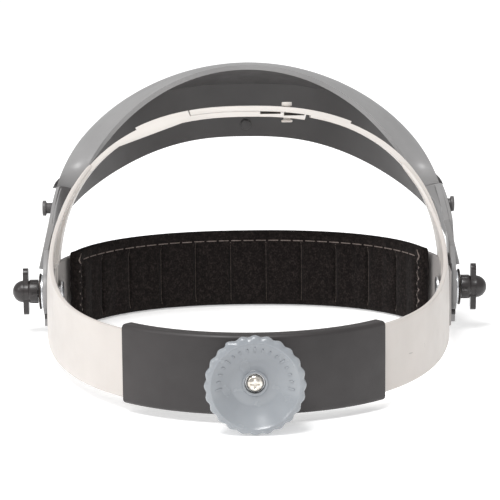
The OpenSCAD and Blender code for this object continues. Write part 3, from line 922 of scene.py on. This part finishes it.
def side_bolt(side, word):
    bm = bmesh.new()
    disc = bmesh.ops.create_circle(bm, cap_ends=False, segments=48, radius=1.0)["verts"]
    turns = {v: math.atan2(v.co.y, v.co.x) for v in disc}
    edges = bm.edges[:]
    for number, (x, r) in enumerate(BOLT_LOOPS):
        if number:
            grown = bmesh.ops.extrude_edge_only(bm, edges=edges)["geom"]
            disc = [g for g in grown if isinstance(g, bmesh.types.BMVert)]
            edges = [g for g in grown if isinstance(g, bmesh.types.BMEdge) and g.is_boundary]
            turns = {v: math.atan2(v.co.z - pivot.z, v.co.y - pivot.y) for v in disc}
        for v in disc:
            v.co = at(side * x, r * math.cos(turns[v]), r * math.sin(turns[v]))
    bmesh.ops.holes_fill(bm, edges=[e for e in bm.edges if e.is_boundary], sides=0)
    bmesh.ops.recalc_face_normals(bm, faces=bm.faces[:])
    make_piece(bm, "side_bolt_" + word, zinc, "headband", "zinc_steel", "pivot_bolt_" + word)


# %% [markdown]
# Both sides have the same hardware. The strap over the head is the one soft piece here: its foot
# stays with the headband and its top follows the height setting. Its copy rides on no body and is
# only baked in place.

# %% Hardware on both sides
for word, side in (("left", -1), ("right", 1)):
    softened("friction_plate_" + word, "grip_plate_" + word, soot_black,
             "headband", "black_plastic", 0.25)
    side_bolt(side, word)
    softened("flat_washer_" + word, "bright_washer_" + word, zinc, "headband", "zinc_steel", 0.15)
    softened("spring_washer_" + word, "dished_washer_" + word, black_oxide,
             "headband", "black_steel", 0.1)
    softened("wing_knob_" + word, "wing_nut_" + word, soot_black,
             "wing_" + word, "black_plastic", 0.3, 3)
    # The arms take the shell's lighter copy of its grey (painted light), the studs its darker copy
    # (painted shade).
    softened("crown_arm_" + word, "shell_arm_" + word, shell_lit_grey, "crown", "shell_plastic", 0.35)
    softened("window_stud_" + word, "side_stud_" + word, shell_shade_grey,
             "crown", "shell_plastic", 0.35)
    arch = softened("crown_strap_" + word, "head_strap_" + word, strap_white,
                    None, "strap_plastic", 0.3)
    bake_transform(arch)

# %% [markdown]
# These pieces have no twin: the stud in the middle of the shell's wall, the peg that locks the
# strap, the ratchet's click ring, and the dial's screw and washer.

# %% Single hardware
# The front stud takes the shell's darker copy of its grey: painted shade.
softened("window_stud_centre", "front_stud", shell_shade_grey, "crown", "shell_plastic", 0.35)
softened("strap_peg", "lock_peg", strap_white, "strap_top", "strap_plastic", 0.3)
softened("ratchet_ring", "click_ring", cover_grey, "ratchet", "cover_plastic", 0.15, 1)
softened("knob_screw", "cross_screw", nickel, "knob", "nickel_screw", 0.12)
softened("knob_washer", "screw_washer", zinc, "knob", "zinc_steel", 0.1, 1)

# %% [markdown]
# The racks, the pinion and the pawl disc are hidden in the cover, so their CAD solids stay and
# only take the right finish.

# %% Finish on the hidden works
for node, material in (("rack_left", band_white), ("rack_right", band_white),
                       ("pinion_gear", knob_grey), ("pawl_disc", knob_grey)):
    piece = frame["nodes"][node]
    piece.data.materials.clear()
    piece.data.materials.append(material)

# %% [markdown]
# ## Stage, light and camera
# A wide white floor, a bright even room and two soft lamps give the plain studio look. The floor
# also glows a little, which keeps it white and leaves only a faint shadow under the band.

# %% Floor
bm = bmesh.new()
bmesh.ops.create_grid(bm, x_segments=1, y_segments=1, size=12.0)
floor_mesh = bpy.data.meshes.new("studio_floor")
bm.to_mesh(floor_mesh)
bm.free()
studio_floor = bpy.data.objects.new("studio_floor", floor_mesh)
bpy.context.scene.collection.objects.link(studio_floor)
floor_mesh.transform(Matrix.Translation((0, 0, -0.0002)))
floor_paint, _, floor_shader = shader_of("floor_paint")
floor_shader.inputs["Base Color"].default_value = (0.97, 0.97, 0.97, 1)
floor_shader.inputs["Roughness"].default_value = 0.9
floor_shader.inputs["Emission Color"].default_value = (1.0, 1.0, 1.0, 1)
floor_shader.inputs["Emission Strength"].default_value = 0.36
floor_mesh.materials.append(floor_paint)

# %% [markdown]
# The main lamp hangs behind and above, on the camera's side, and lights the lower half of the
# knob's dish. The second is weaker and stands to the left.

# %% Lights
world = bpy.data.worlds.new("studio_world")
world.use_nodes = True
world.node_tree.nodes["Background"].inputs["Color"].default_value = (1.0, 1.0, 1.0, 1)
world.node_tree.nodes["Background"].inputs["Strength"].default_value = 0.62
bpy.context.scene.world = world
bpy.context.scene.view_settings.view_transform = "Standard"


def soft_lamp(name, place, aim, size, power):
    lamp = bpy.data.lights.new(name, "AREA")
    lamp.shape = "DISK"
    lamp.size = size
    lamp.energy = power
    holder = bpy.data.objects.new(name, lamp)
    holder.location = place
    holder.rotation_euler = (Vector(aim) - Vector(place)).to_track_quat("-Z", "Y").to_euler()
    bpy.context.scene.collection.objects.link(holder)


soft_lamp("top_softbox", (-0.3, -0.65, 1.3), (0, 0, 0), 0.7, 15.0)
soft_lamp("left_softbox", (-1.2, -0.6, 0.8), (0, 0, 0.05), 0.6, 3.5)

# %% [markdown]
# The camera stands behind the object, about a metre away and a little above it, with a long lens.
# It is aimed just over the ring, near the pivots, and rolled by half a degree. Focal length, frame
# width and aim share one unit.

# %% Camera
DISTANCE, AZIMUTH, ELEVATION, ROLL = 1.098, -0.6, 12.85, -0.53
FOCAL, FRAME = 2548.0, 500.0
AIM_RIGHT, AIM_UP = 0.28, 45.39
target = at(0, -12.8, 0)
a, e = math.radians(AZIMUTH), math.radians(ELEVATION)
back = Vector((math.sin(a) * math.cos(e), -math.cos(a) * math.cos(e), math.sin(e)))
right = Vector((math.cos(a), math.sin(a), 0.0))
up = back.cross(right)
camera = bpy.data.objects.new("camera", bpy.data.cameras.new("camera"))
camera.data.sensor_width = 36.0
camera.data.lens = 36.0 * FOCAL / FRAME
camera.data.clip_start = 0.05
camera.location = target + back * DISTANCE
aim = target + right * (AIM_RIGHT / FOCAL * DISTANCE) + up * (AIM_UP / FOCAL * DISTANCE)
look = (aim - camera.location).to_track_quat("-Z", "Y")
camera.rotation_mode = "QUATERNION"
camera.rotation_quaternion = look @ Matrix.Rotation(math.radians(ROLL), 3, "Z").to_quaternion()
bpy.context.scene.collection.objects.link(camera)
bpy.context.scene.camera = camera
print("camera at", tuple(round(c, 3) for c in camera.location))
